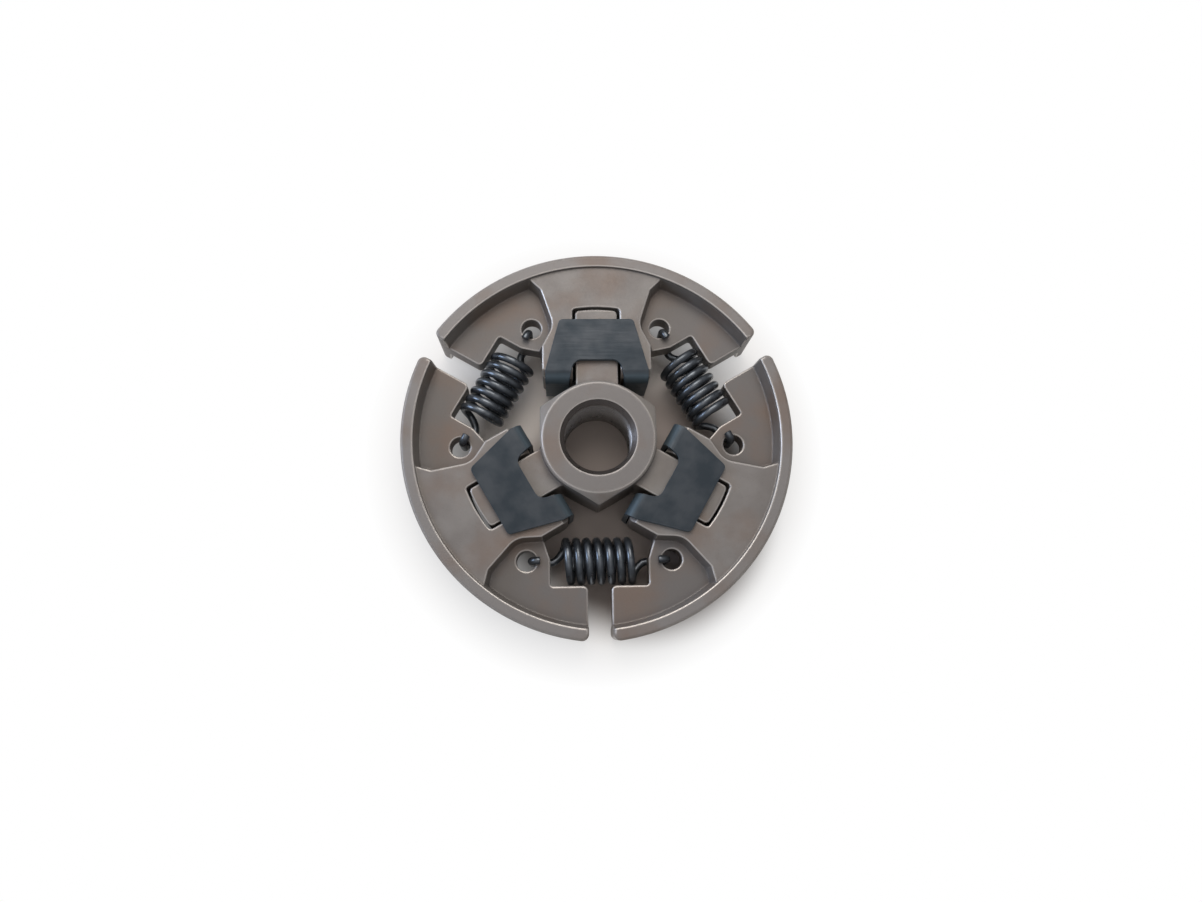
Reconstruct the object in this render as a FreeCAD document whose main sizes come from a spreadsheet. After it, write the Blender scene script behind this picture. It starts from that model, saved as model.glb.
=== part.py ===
"""Centrifugal clutch of a chainsaw, seen as it lies on its back with the hexagon side up.

A sintered carrier with a threaded hub has three radial arms. A sintered friction shoe slides
outward on each arm, a folded steel retainer keeps it on the arm, and three tension springs,
hooked from shoe to shoe across the gaps, draw the shoes back in.

Frame: Z is the crankshaft's axis, the hub's back face is at Z = 0 and the first arm points to +Y.
All sizes are in millimetres and degrees.
"""
import FreeCAD, Part
import math
import os
import re

import Sketcher
from FreeCAD import Placement, Rotation, Vector

SIZES = [
    ("arm_count", 3, "arms, shoes, retainers and springs"),
    ("hub_flats", 19.0, "hexagon across flats"),
    ("hub_length", 12.8, "hub from its back face to its front face"),
    ("hub_face", 18.3, "diameter of the flat ring on each end of the hub"),
    ("hub_chamfer", 44.0, "angle between the corner chamfer and the end face"),
    ("hub_tip_round", 0.35, "radius on the hexagon's three corners"),
    ("thread_bore", 11.1, "tapping diameter of the crankshaft thread"),
    ("thread_mouth", 12.6, "diameter of the countersinks of the thread"),
    ("arm_width", 7.0, "arm across its sliding faces"),
    ("arm_clearance", 0.3, "gap between an arm and a retainer's plates"),
    ("arm_tip", 22.5, "radius of the arm's rounded end about the axis"),
    ("arm_tip_round", 0.7, "radius on the corners of the arm's end"),
    ("arm_root_round", 0.8, "radius where an arm meets the hub"),
    ("friction_radius", 33.4, "shoe's outer arc, which is the drum's radius"),
    ("shoe_travel", 1.4, "way of a shoe from rest to the drum"),
    ("shoe_width", 10.8, "shoe along the axis"),
    ("shoe_lift", 0.6, "shoe's back face above the hub's back face"),
    ("shoe_gap", 3.9, "gap between neighbouring shoes at rest"),
    ("lip_thickness", 2.0, "rim of the shoe, measured along the radius"),
    ("rim_edge", 0.3, "chamfer on the outer edges of the rim"),
    ("rim_round", 1.1, "radius on the ends of the rim"),
    ("web_thickness", 3.6, "web between the recesses"),
    ("web_inner", 15.9, "web's inner edge from the axis, beside the boss"),
    ("web_rise", 0.75, "rise of that edge from the boss to the notch"),
    ("recess_draft", 8.0, "draft of the recess walls"),
    ("boss_step", 0.5, "boss face below the rim's face"),
    ("boss_inner", 10.7, "boss's inner end from the axis"),
    ("boss_foot", 18.2, "boss across its inner end"),
    ("boss_foot_round", 0.8, "radius on the corners of the boss's inner end"),
    ("boss_neck", 18.4, "boss across, below its flare to the rim"),
    ("boss_neck_reach", 26.0, "place of that width along the arm"),
    ("boss_flare", 22.4, "boss across where it meets the rim"),
    ("notch_length", 16.1, "notch from end wall to end wall"),
    ("notch_round", 0.5, "radius in the notch's inner corners"),
    ("notch_step_round", 0.8, "radius where the notch meets the gap"),
    ("notch_foot_round", 1.2, "radius where the notch meets the web's inner edge"),
    ("slot_clearance", 0.52, "gap between arm and slot on each side"),
    ("slot_end_clearance", 0.42, "gap between arm and slot at the arm's end"),
    ("slot_round", 0.6, "radius in the slot's corners"),
    ("hook_offset", 11.0, "hook hole beside the arm's middle line"),
    ("hook_reach", 20.05, "hook hole along the arm's middle line"),
    ("hook_hole", 3.4, "diameter of a hook hole"),
    ("hook_wall", 3.6, "radius of the recess wall around a hook hole"),
    ("hook_wall_rise", 15.0, "angle of that wall's outer end above the hole's level"),
    ("hook_wall_fall", 31.0, "angle of that wall's inner end below the hole's level"),
    ("sheet", 0.8, "thickness of a retainer"),
    ("bend_inside", 1.1, "inside radius of a retainer's bends"),
    ("leg_clearance", 0.2, "gap between a retainer's legs and the boss"),
    ("plate_reach", 20.45, "outer edge of a retainer's plates from the axis"),
    ("plate_tip", 12.4, "plate across its outer edge"),
    ("plate_foot", 17.2, "retainer across its legs"),
    ("plate_tip_round", 0.8, "radius on the corners of the outer edge"),
    ("cutout_reach", 13.4, "outer end of the cut-out over the arm from the axis"),
    ("cutout_tip", 7.6, "cut-out across its outer end"),
    ("cutout_foot", 9.8, "cut-out across, between the legs"),
    ("cutout_round", 1.6, "radius in the corners of the cut-out"),
    ("wire", 1.3, "spring wire's diameter"),
    ("coil_diameter", 7.9, "spring coil's outer diameter"),
    ("coil_pitch", 1.68, "spring coil's pitch as fitted"),
    ("coil_turns", 6.7, "turns of a spring's coil"),
    ("coil_clearance", 0.2, "gap between a coil and the notch's outer wall"),
    ("hook_clearance", 0.2, "gap between a hook and the web it goes around"),
    ("hook_bend", 1.1, "radius of a hook's bends along the wire's middle"),
    ("hook_tip", 0.2, "straight end of a hook past its last bend"),
]
NAME_PATTERN = re.compile(r"\b(" + "|".join(name for name, _, _ in SIZES) + r")\b")
TURN_STEPS = 10
WIRE_SIDES = 6
BEND_STEPS = 3
LEAD_STEPS = 5
OUTSIDE = "5"
CLOSE = 0.001

doc = FreeCAD.newDocument("clutch")
dims = doc.addObject("Spreadsheet::Sheet", "dims")
for row, (name, number, meaning) in enumerate(SIZES, start=1):
    dims.set(f"A{row}", meaning)
    dims.set(f"B{row}", str(number))
    dims.setAlias(f"B{row}", name)
doc.recompute()


def bound(text):
    """Expression over the sheet's names, as another object writes it."""
    return NAME_PATTERN.sub(r"dims.\1", text)


def size(text):
    """Number that an expression over the sheet's names gives."""
    result = dims.evalExpression(bound(text))
    return float(getattr(result, "Value", result))


HALF_STEP = f"({size('180 / arm_count')})"
SHOE_MIDDLE = "(shoe_lift + shoe_width / 2)"
SLOT_HALF = "(arm_width / 2 + slot_clearance)"
SLOT_END = "(arm_tip + slot_end_clearance)"
LIP_INSIDE = "(friction_radius - lip_thickness)"
BOSS_HALF_HEIGHT = "(shoe_width / 2 - boss_step)"
ARM_HEIGHT = f"(2 * ({BOSS_HALF_HEIGHT} - arm_clearance))"
LEG_INSIDE = "(boss_inner - leg_clearance)"
LEG_OUTSIDE = "(boss_inner - leg_clearance - sheet)"
COIL_REACH = f"(hook_reach * cos({HALF_STEP}) + hook_offset * sin({HALF_STEP}))"
NOTCH_REACH = f"({COIL_REACH} + coil_diameter / 2 + coil_clearance)"


def origin_item(body, role):
    """Plane or axis of a body's own origin."""
    return next(item for item in body.Origin.OriginFeatures if item.Role == role)


def add_body(label):
    """Empty body with a label of its own."""
    body = doc.addObject("PartDesign::Body", label)
    body.Label = label
    return body


def add_sketch(body, name, plane="XY_Plane", height="0"):
    """Sketch on one of a body's planes, raised along the plane's normal."""
    sketch = body.newObject("Sketcher::SketchObject", name)
    sketch.AttachmentSupport = [(origin_item(body, plane), "")]
    sketch.MapMode = "FlatFace"
    sketch.setExpression("AttachmentOffset.Base.z", bound(height))
    return sketch


def hold_point(sketch, geometry, end, across, along):
    """Hold a point of a sketch at a place that the sheet gives."""
    for kind, axis, text in (("DistanceX", -2, across), ("DistanceY", -1, along)):
        if text == "0":
            sketch.addConstraint(Sketcher.Constraint("PointOnObject", geometry, end, axis))
            continue
        index = sketch.addConstraint(Sketcher.Constraint(kind, -1, 1, geometry, end, size(text)))
        sketch.setExpression(f"Constraints[{index}]", bound(text))


def hold_radius(sketch, geometry, text):
    """Hold a circle's or arc's radius."""
    index = sketch.addConstraint(Sketcher.Constraint("Radius", geometry, size(text)))
    sketch.setExpression(f"Constraints[{index}]", bound(text))


def draw_loop(sketch, corners):
    """Closed outline through corners (x, y) or (x, y, turn, radius).

    A corner with a turn starts an arc of that radius, "left" or "right" as the outline goes.
    """
    points = [Vector(size(corner[0]), size(corner[1]), 0) for corner in corners]
    ends = []
    for number, corner in enumerate(corners):
        first = points[number]
        last = points[(number + 1) % len(points)]
        if len(corner) == 2:
            ends.append((sketch.addGeometry(Part.LineSegment(first, last)), 1, 2))
            continue
        radius = size(corner[3])
        chord = last - first
        side = 1 if corner[2] == "left" else -1
        rise = math.sqrt(radius ** 2 - (chord.Length / 2) ** 2)
        normal = Vector(-chord.y, chord.x, 0).normalize()
        centre = (first + last) / 2 + normal * rise * side
        begin, finish = (first, last) if side > 0 else (last, first)
        angles = [math.atan2(point.y - centre.y, point.x - centre.x) for point in (begin, finish)]
        arc = Part.ArcOfCircle(Part.Circle(centre, Vector(0, 0, 1), radius), *angles)
        ends.append((sketch.addGeometry(arc), 1 if side > 0 else 2, 2 if side > 0 else 1))
    for number, corner in enumerate(corners):
        geometry, start, finish = ends[number]
        following = ends[(number + 1) % len(ends)]
        sketch.addConstraint(
            Sketcher.Constraint("Coincident", geometry, finish, following[0], following[1]))
        hold_point(sketch, geometry, start, corner[0], corner[1])
        if len(corner) > 2:
            hold_radius(sketch, geometry, corner[3])


def draw_circle(sketch, across, along, radius):
    """Circle at a place and of a radius that the sheet gives."""
    middle = Vector(size(across), size(along), 0)
    geometry = sketch.addGeometry(Part.Circle(middle, Vector(0, 0, 1), size(radius)))
    hold_point(sketch, geometry, 3, across, along)
    hold_radius(sketch, geometry, radius)


def flipped(corner):
    """Corner on the other side of the middle line, where an arc turns the other way."""
    across, along, *arc = corner
    other = {"left": "right", "right": "left"}
    return (f"-({across})", along, *(other.get(item, item) for item in arc))


def pad(body, sketch, name, length, midplane=False):
    """Solid from a sketch."""
    feature = body.newObject("PartDesign::Pad", name)
    feature.Profile = sketch
    feature.Midplane = midplane
    feature.setExpression("Length", bound(length))
    doc.recompute()
    return feature


def pocket(body, sketch, name, depth, midplane=False, draft="0"):
    """Cut from a sketch down into the solid, which has to lose volume by it."""
    before = body.Shape.Volume
    feature = body.newObject("PartDesign::Pocket", name)
    feature.Profile = sketch
    feature.Midplane = midplane
    feature.setExpression("Length", bound(depth))
    feature.setExpression("TaperAngle", bound(draft))
    doc.recompute()
    if not body.Shape.Volume < before:
        raise RuntimeError(f"{name} cuts nothing")
    return feature


def groove(body, sketch, name):
    """Turned cut around the body's Z axis, which has to take volume away."""
    before = body.Shape.Volume
    feature = body.newObject("PartDesign::Groove", name)
    feature.Profile = sketch
    feature.ReferenceAxis = (origin_item(body, "Z_Axis"), [""])
    feature.Angle = 360
    doc.recompute()
    if not body.Shape.Volume < before:
        raise RuntimeError(f"{name} cuts nothing")
    return feature


def edge_names(body, chosen):
    """Names of the body's edges that pass a test."""
    return [f"Edge{number}" for number, edge in enumerate(body.Shape.Edges, start=1) if chosen(edge)]


def upright_at(places):
    """Test for edges along Z that stand at one of the given places."""
    spots = [Vector(size(across), size(along), 0) for across, along in places]

    def chosen(edge):
        ends = [Vector(vertex.X, vertex.Y, 0) for vertex in edge.Vertexes]
        return len(ends) == 2 and any(
            all(end.distanceToPoint(spot) < CLOSE for end in ends) for spot in spots)

    return chosen


def round_edges(body, name, radius, chosen):
    """Fillet on the edges that pass a test."""
    base = (body.Tip, edge_names(body, chosen))
    feature = body.newObject("PartDesign::Fillet", name)
    feature.Base = base
    feature.setExpression("Radius", bound(radius))
    doc.recompute()


def break_edges(body, name, width, chosen):
    """Chamfer on the edges that pass a test."""
    base = (body.Tip, edge_names(body, chosen))
    feature = body.newObject("PartDesign::Chamfer", name)
    feature.Base = base
    feature.setExpression("Size", bound(width))
    doc.recompute()


def turned(across, along, angle):
    """Place (x, y) turned to the left about the axis by an angle."""
    return (f"(({across}) * cos({angle}) - ({along}) * sin({angle}))",
            f"(({across}) * sin({angle}) + ({along}) * cos({angle}))")


def make_carrier():
    """Hub with the crankshaft thread's bore, and the arms that the shoes slide on."""
    body = add_body("carrier")

    # Round hub with a hexagon corner in each gap between the arms.
    outline = []
    corners = []
    for number in range(int(size("arm_count"))):
        step = f"({number} * 2 * {HALF_STEP} - {HALF_STEP})"
        tip = turned("0", f"(hub_flats / 2 / cos({HALF_STEP} / 2))", step)
        flat_end = turned(f"(-hub_flats / 2 * sin({HALF_STEP} / 2))",
                          f"(hub_flats / 2 * cos({HALF_STEP} / 2))", step)
        flat_start = turned(f"(hub_flats / 2 * sin({HALF_STEP} / 2))",
                            f"(hub_flats / 2 * cos({HALF_STEP} / 2))", step)
        outline += [flat_start, tip, (*flat_end, "left", "hub_flats / 2")]
        corners.append(tip)
    sketch = add_sketch(body, "hub_outline")
    draw_loop(sketch, outline)
    pad(body, sketch, "hub", "hub_length")
    round_edges(body, "hub_tips", "hub_tip_round", upright_at(corners))

    # Corner chamfers, turned on both ends of the hub.
    for name, face, inward in (("hub_front", "hub_length", "-"), ("hub_back", "0", "+")):
        sketch = add_sketch(body, f"{name}_profile", "XZ_Plane")
        draw_loop(sketch, [
            ("hub_face / 2", face),
            ("hub_flats", face),
            ("hub_flats", f"{face} {inward} (hub_flats - hub_face / 2) * tan(hub_chamfer)"),
        ])
        groove(body, sketch, f"{name}_chamfer")

    sketch = add_sketch(body, "arm_outline", "XY_Plane", SHOE_MIDDLE)
    arm_corner = ("arm_width / 2", "sqrt(arm_tip ^ 2 - arm_width ^ 2 / 4)")
    draw_loop(sketch, [
        ("-arm_width / 2", "0"),
        ("arm_width / 2", "0"),
        (*arm_corner, "left", "arm_tip"),
        flipped(arm_corner),
    ])
    arm = pad(body, sketch, "arm", ARM_HEIGHT, midplane=True)
    arms = body.newObject("PartDesign::PolarPattern", "arms")
    arms.Originals = [arm]
    arms.Axis = (origin_item(body, "Z_Axis"), [""])
    arms.Angle = 360
    arms.setExpression("Occurrences", bound("arm_count"))
    body.Tip = arms
    doc.recompute()

    steps = [f"({number} * 2 * {HALF_STEP})" for number in range(int(size("arm_count")))]
    root = ("arm_width / 2", "sqrt(hub_flats ^ 2 / 4 - arm_width ^ 2 / 4)")
    ends = [turned(*place, step) for step in steps for place in (arm_corner, flipped(arm_corner))]
    roots = [turned(*place, step) for step in steps for place in (root, flipped(root))]
    round_edges(body, "arm_tips", "arm_tip_round", upright_at(ends))
    round_edges(body, "arm_roots", "arm_root_round", upright_at(roots))

    mouth_depth = "((thread_mouth - thread_bore) / 2)"
    sketch = add_sketch(body, "thread_profile", "XZ_Plane")
    draw_loop(sketch, [
        ("0", "0"),
        ("thread_mouth / 2", "0"),
        ("thread_bore / 2", mouth_depth),
        ("thread_bore / 2", f"hub_length - {mouth_depth}"),
        ("thread_mouth / 2", "hub_length"),
        ("0", "hub_length"),
    ])
    groove(body, sketch, "thread_core")
    return body


def from_gap(across, along):
    """Place measured from the middle line of the gap beside a shoe, in the shoe's own frame."""
    return turned(f"-({across})", along, f"(-{HALF_STEP})")


def make_shoe(label, bearing):
    """Friction shoe in its own frame: the arm's middle line is Y, the web's middle is Z = 0."""
    body = add_body(label)
    foot = ("boss_foot / 2", "boss_inner")
    notch_half = "(notch_length / 2)"
    foot_along = f"((web_inner + web_rise - {notch_half} * sin({HALF_STEP})) / cos({HALF_STEP}))"
    web_corner = ("boss_foot / 2", "web_inner")
    notch_foot = from_gap(notch_half, foot_along)
    notch_inner = from_gap(notch_half, NOTCH_REACH)
    notch_step = from_gap("shoe_gap / 2", NOTCH_REACH)
    rim_along = (f"(sqrt(friction_radius ^ 2 - (shoe_gap / 2 + shoe_travel * sin({HALF_STEP})) ^ 2)"
                 f" - shoe_travel * cos({HALF_STEP}))")
    rim_end = from_gap("shoe_gap / 2", rim_along)
    slot_mouth = (SLOT_HALF, "boss_inner")
    slot_corner = (SLOT_HALF, f"sqrt({SLOT_END} ^ 2 - {SLOT_HALF} ^ 2)")
    right = [slot_mouth, foot, web_corner, notch_foot, notch_inner, notch_step]
    sketch = add_sketch(body, f"{label}_outline")
    draw_loop(sketch, right + [
        (*rim_end, "left", "friction_radius"),
        flipped(rim_end),
        *[flipped(corner) for corner in reversed(right)],
        (*flipped(slot_corner), "right", SLOT_END),
        slot_corner,
    ])
    pad(body, sketch, f"{label}_blank", "shoe_width", midplane=True)

    for name, radius, place in (
            ("feet", "boss_foot_round", foot),
            ("notch_feet", "notch_foot_round", notch_foot),
            ("notch_ends", "notch_round", notch_inner),
            ("notch_steps", "notch_step_round", notch_step),
            ("rim_ends", "rim_round", rim_end),
            ("slot_ends", "slot_round", slot_corner)):
        round_edges(body, f"{label}_{name}", radius, upright_at([place, flipped(place)]))

    # Boss face, a step below the rim's face.
    sketch = add_sketch(body, f"{label}_boss_face", "XY_Plane", "shoe_width / 2")
    draw_circle(sketch, "0", "-shoe_travel", LIP_INSIDE)
    step = pocket(body, sketch, f"{label}_boss_step", "boss_step")

    # Recess on each side of the boss, down to the web.
    flare = ("boss_flare / 2", f"(sqrt({LIP_INSIDE} ^ 2 - boss_flare ^ 2 / 4) - shoe_travel)")
    rise = ("hook_offset - hook_wall * cos(hook_wall_rise)",
            "hook_reach + hook_wall * sin(hook_wall_rise)")
    fall = ("hook_offset - hook_wall * cos(hook_wall_fall)",
            "hook_reach - hook_wall * sin(hook_wall_fall)")
    past_gap = f"({HALF_STEP} + asin(shoe_gap / friction_radius) / 1 deg)"
    past_rim = (f"({LIP_INSIDE} * sin({past_gap}))", f"({LIP_INSIDE} * cos({past_gap}) - shoe_travel)")
    recess = [
        flare,
        ("boss_neck / 2", "boss_neck_reach"),
        (*rise, "left", "hook_wall"),
        fall,
        ("boss_foot / 2", "web_inner"),
        ("boss_foot / 2", "0"),
        (past_rim[0], "0"),
        (*past_rim, "left", LIP_INSIDE),
    ]
    recesses = []
    for side, corners in (("right", recess), ("left", [flipped(corner) for corner in recess])):
        sketch = add_sketch(body, f"{label}_{side}_recess_outline", "XY_Plane", "shoe_width / 2")
        draw_loop(sketch, corners)
        recesses.append(pocket(body, sketch, f"{label}_{side}_recess",
                               "(shoe_width - web_thickness) / 2", draft="-recess_draft"))
    back = body.newObject("PartDesign::Mirrored", f"{label}_back")
    back.Originals = [step, *recesses]
    back.MirrorPlane = (origin_item(body, "XY_Plane"), [""])
    body.Tip = back
    doc.recompute()

    sketch = add_sketch(body, f"{label}_hook_circles")
    draw_circle(sketch, "hook_offset", "hook_reach", "hook_hole / 2")
    draw_circle(sketch, "-hook_offset", "hook_reach", "hook_hole / 2")
    pocket(body, sketch, f"{label}_hook_holes", "shoe_width", midplane=True)
    break_edges(body, f"{label}_rim_edges", "rim_edge", lambda edge: (
        isinstance(edge.Curve, Part.Circle)
        and abs(edge.Curve.Radius - size("friction_radius")) < CLOSE))

    # Bevels across the boss's inner end, which leave room for the retainer's bends.
    past_end = "(boss_inner - sheet)"
    past_face = f"({BOSS_HALF_HEIGHT} + sheet)"
    bevel = "(bend_inside + leg_clearance + 2 * sheet)"
    sketch = add_sketch(body, f"{label}_end_profile", "YZ_Plane")
    for side in ("", "-"):
        draw_loop(sketch, [
            (past_end, f"{side}{past_face}"),
            (f"{past_end} + {bevel}", f"{side}{past_face}"),
            (past_end, f"{side}({past_face} - {bevel})"),
        ])
    pocket(body, sketch, f"{label}_end_bevels", "2 * boss_foot", midplane=True)
    body.Placement = Placement(Vector(0, 0, size(SHOE_MIDDLE)), Rotation(Vector(0, 0, 1), bearing))
    return body


def make_retainer(label, bearing):
    """Folded steel retainer, whose two plates hold a shoe's boss and the arm between them."""
    body = add_body(label)
    outside_bend = "(bend_inside + sheet)"
    outside_height = f"({BOSS_HALF_HEIGHT} + sheet)"
    end = "plate_reach + sheet"
    upper = [
        (end, BOSS_HALF_HEIGHT),
        (f"{LEG_INSIDE} + bend_inside", BOSS_HALF_HEIGHT, "left", "bend_inside"),
        (LEG_INSIDE, f"{BOSS_HALF_HEIGHT} - bend_inside"),
    ]
    lower = [
        (LEG_INSIDE, f"-({BOSS_HALF_HEIGHT} - bend_inside)", "left", "bend_inside"),
        (f"{LEG_INSIDE} + bend_inside", f"-{BOSS_HALF_HEIGHT}"),
        (end, f"-{BOSS_HALF_HEIGHT}"),
    ]
    outer = [
        (end, f"-{outside_height}"),
        (f"{LEG_INSIDE} + bend_inside", f"-{outside_height}", "right", outside_bend),
        (LEG_OUTSIDE, f"-({outside_height} - {outside_bend})"),
        (LEG_OUTSIDE, f"{outside_height} - {outside_bend}", "right", outside_bend),
        (f"{LEG_INSIDE} + bend_inside", outside_height),
        (end, outside_height),
    ]
    sketch = add_sketch(body, f"{label}_fold", "YZ_Plane")
    draw_loop(sketch, upper + lower + outer)
    pad(body, sketch, f"{label}_strip", f"plate_foot + {OUTSIDE}", midplane=True)

    leg_end = f"({LEG_OUTSIDE} - sheet)"
    right = [
        ("cutout_tip / 2", "cutout_reach"),
        ("cutout_foot / 2", leg_end),
        ("plate_foot / 2", leg_end),
        ("plate_foot / 2", f"{LEG_INSIDE} + bend_inside"),
        ("plate_tip / 2", "plate_reach"),
    ]
    sketch = add_sketch(body, f"{label}_blank_outline")
    draw_loop(sketch, right + [flipped(corner) for corner in reversed(right)])
    draw_loop(sketch, [
        (f"plate_foot + {OUTSIDE}", f"{leg_end} - {OUTSIDE}"),
        (f"plate_foot + {OUTSIDE}", f"plate_reach + {OUTSIDE}"),
        (f"-(plate_foot + {OUTSIDE})", f"plate_reach + {OUTSIDE}"),
        (f"-(plate_foot + {OUTSIDE})", f"{leg_end} - {OUTSIDE}"),
    ])
    pocket(body, sketch, f"{label}_trim", "2 * shoe_width", midplane=True)
    for name, radius, place in (("tips", "plate_tip_round", right[4]),
                                ("cutout", "cutout_round", right[0])):
        round_edges(body, f"{label}_{name}", radius, upright_at([place, flipped(place)]))
    body.Placement = Placement(Vector(0, 0, size(SHOE_MIDDLE)), Rotation(Vector(0, 0, 1), bearing))
    return body


def bend(middle, radius, start, finish):
    """Points of an arc in the X-Z plane about a middle, without its first point."""
    turns = [start + (finish - start) * step / BEND_STEPS for step in range(1, BEND_STEPS + 1)]
    return [middle + Vector(math.cos(math.radians(turn)), 0, math.sin(math.radians(turn))) * radius
            for turn in turns]


def half_spring_path():
    """Middle line of the wire from the coil's middle to the tip of one hook.

    X is the coil's axis, Z points to the front, and the hook goes under the web, up through its
    hole and back over the web's front edge.
    """
    mean = size("(coil_diameter - wire) / 2")
    lead = size("coil_pitch") / (2 * math.pi)
    last = math.pi * size("coil_turns")
    count = round(last / (2 * math.pi) * TURN_STEPS)
    angles = [last * number / count for number in range(count + 1)]
    path = [Vector(lead * angle, -mean * math.sin(angle), mean * math.cos(angle)) for angle in angles]

    level = size("web_thickness / 2 + hook_clearance + wire / 2")
    hook_span = size(f"hook_reach * sin({HALF_STEP}) - hook_offset * cos({HALF_STEP})")
    rising = hook_span - size("hook_hole / 2 - hook_clearance - wire / 2")
    radius = size("hook_bend")
    under = Vector(size("notch_length / 2"), 0, -level)
    heading = Vector(lead, -mean * math.cos(last), -mean * math.sin(last)).normalize()
    reach = path[-1].distanceToPoint(under) / 3
    control = [path[-1], path[-1] + heading * reach, under - Vector(reach, 0, 0), under]
    for number in range(1, LEAD_STEPS + 1):
        share = number / LEAD_STEPS
        weights = [math.comb(3, power) * share ** power * (1 - share) ** (3 - power)
                   for power in range(4)]
        path.append(sum((point * weight for point, weight in zip(control, weights)), Vector()))

    low = Vector(rising - radius, 0, radius - level)
    high = Vector(rising - radius, 0, level - radius)
    path.append(low - Vector(0, 0, radius))
    path += bend(low, radius, -90, 0)
    path.append(high + Vector(radius, 0, 0))
    path += bend(high, radius, 0, 90)
    path.append(path[-1] - Vector(size("hook_tip"), 0, 0))
    return path


def flat_face(corners):
    """Face between corners that lie in one plane."""
    return Part.Face(Part.makePolygon([*corners, corners[0]]))


def wire_solid(path):
    """Wire along a path, with flat facets from section to section to keep its mesh small."""
    faces = []
    earlier = []
    across = Vector(0, 1, 0)
    for number, point in enumerate(path):
        before = path[max(number - 1, 0)]
        after = path[min(number + 1, len(path) - 1)]
        along = (after - before).normalize()
        across = (across - along * across.dot(along)).normalize()
        beside = along.cross(across)
        turns = [2 * math.pi * (side + 0.5) / WIRE_SIDES for side in range(WIRE_SIDES)]
        ring = [point + (across * math.cos(turn) + beside * math.sin(turn)) * size("wire / 2")
                for turn in turns]
        if number in (0, len(path) - 1):
            faces.append(flat_face(ring))
        for side, corner in enumerate(earlier):
            faces.append(flat_face([corner, earlier[side - 1], ring[side]]))
            faces.append(flat_face([earlier[side - 1], ring[side - 1], ring[side]]))
        earlier = ring
    shell = Part.Shell(faces)
    shell.sewShape()
    return Part.Solid(shell)


def make_spring(label, bearing):
    """Tension spring from shoe to shoe across a gap, with a hook at each end."""
    half = half_spring_path()
    path = [Vector(-point.x, -point.y, point.z) for point in reversed(half[1:])] + half
    spring = doc.addObject("Part::Feature", label)
    spring.Label = label
    spring.Shape = wire_solid(path)
    turn = Rotation(Vector(0, 0, 1), bearing)
    outward = turn.multVec(Vector(0, -size(COIL_REACH), 0))
    spring.Placement = Placement(outward + Vector(0, 0, size(SHOE_MIDDLE)), turn)
    return spring


def main():
    """Build every piece, check it and write it out."""
    count = int(size("arm_count"))
    pieces = [make_carrier()]
    for number in range(count):
        bearing = 360 / count * number
        pieces.append(make_shoe(f"shoe_{number + 1}", bearing))
        pieces.append(make_retainer(f"retainer_{number + 1}", bearing))
        pieces.append(make_spring(f"spring_{number + 1}", 180 + 180 / count + bearing))
    doc.recompute()
    for item in doc.Objects:
        if "Invalid" in item.State or "Error" in item.State:
            raise RuntimeError(f"{item.Label} failed: {item.State}")
    for piece in pieces:
        if piece.Shape.isNull() or not piece.Shape.isValid():
            raise RuntimeError(f"{piece.Label} has no valid shape")
    os.makedirs("parts", exist_ok=True)
    for piece in pieces:
        piece.Shape.exportStep(f"parts/{piece.Label}.step")
        print(piece.Label, round(piece.Shape.Volume, 2))


main()
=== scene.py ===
import math

import bmesh
import bpy
from mathutils import Matrix, Vector


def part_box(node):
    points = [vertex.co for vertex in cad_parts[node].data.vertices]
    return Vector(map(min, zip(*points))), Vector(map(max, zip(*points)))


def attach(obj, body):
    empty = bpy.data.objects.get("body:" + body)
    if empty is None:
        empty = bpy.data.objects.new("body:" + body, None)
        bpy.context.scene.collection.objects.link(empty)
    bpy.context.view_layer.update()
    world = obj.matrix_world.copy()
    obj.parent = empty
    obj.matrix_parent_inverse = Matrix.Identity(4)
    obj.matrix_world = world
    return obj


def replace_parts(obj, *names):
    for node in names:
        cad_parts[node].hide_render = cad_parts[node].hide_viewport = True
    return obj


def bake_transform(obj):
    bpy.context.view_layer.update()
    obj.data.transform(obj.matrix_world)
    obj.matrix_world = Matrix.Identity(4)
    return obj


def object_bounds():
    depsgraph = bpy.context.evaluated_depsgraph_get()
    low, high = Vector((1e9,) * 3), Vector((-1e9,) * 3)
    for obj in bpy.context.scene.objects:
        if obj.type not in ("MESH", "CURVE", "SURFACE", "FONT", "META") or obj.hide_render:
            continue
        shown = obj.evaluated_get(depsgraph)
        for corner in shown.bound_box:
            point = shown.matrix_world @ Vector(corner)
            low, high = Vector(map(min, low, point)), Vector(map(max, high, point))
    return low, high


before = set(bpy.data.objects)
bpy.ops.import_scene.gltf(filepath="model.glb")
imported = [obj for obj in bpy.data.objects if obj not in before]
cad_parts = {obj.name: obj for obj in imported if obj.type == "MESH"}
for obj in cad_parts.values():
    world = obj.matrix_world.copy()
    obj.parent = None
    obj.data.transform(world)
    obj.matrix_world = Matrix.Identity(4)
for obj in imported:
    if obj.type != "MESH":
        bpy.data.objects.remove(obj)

bl_info = {
    "name": "Chainsaw clutch",
    "version": (1, 0, 0),
    "blender": (4, 5, 0),
    "location": "View3D > Sidebar > Clutch",
    "description": "Finishes a centrifugal clutch's carrier, shoes, retainers and springs and lights them",
    "category": "Object",
}

MM = 0.001
CAD_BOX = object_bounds()
SHOE_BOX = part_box("shoe_1")
SHOE_COUNT = sum(name.startswith("shoe_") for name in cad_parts)
SHOE_MIDDLE = (SHOE_BOX[0].z + SHOE_BOX[1].z) / 2

# Distances in metres within which points are one point, or lie on the bore.
WELD = 1e-6
NEAR = 0.01 * MM

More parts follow.
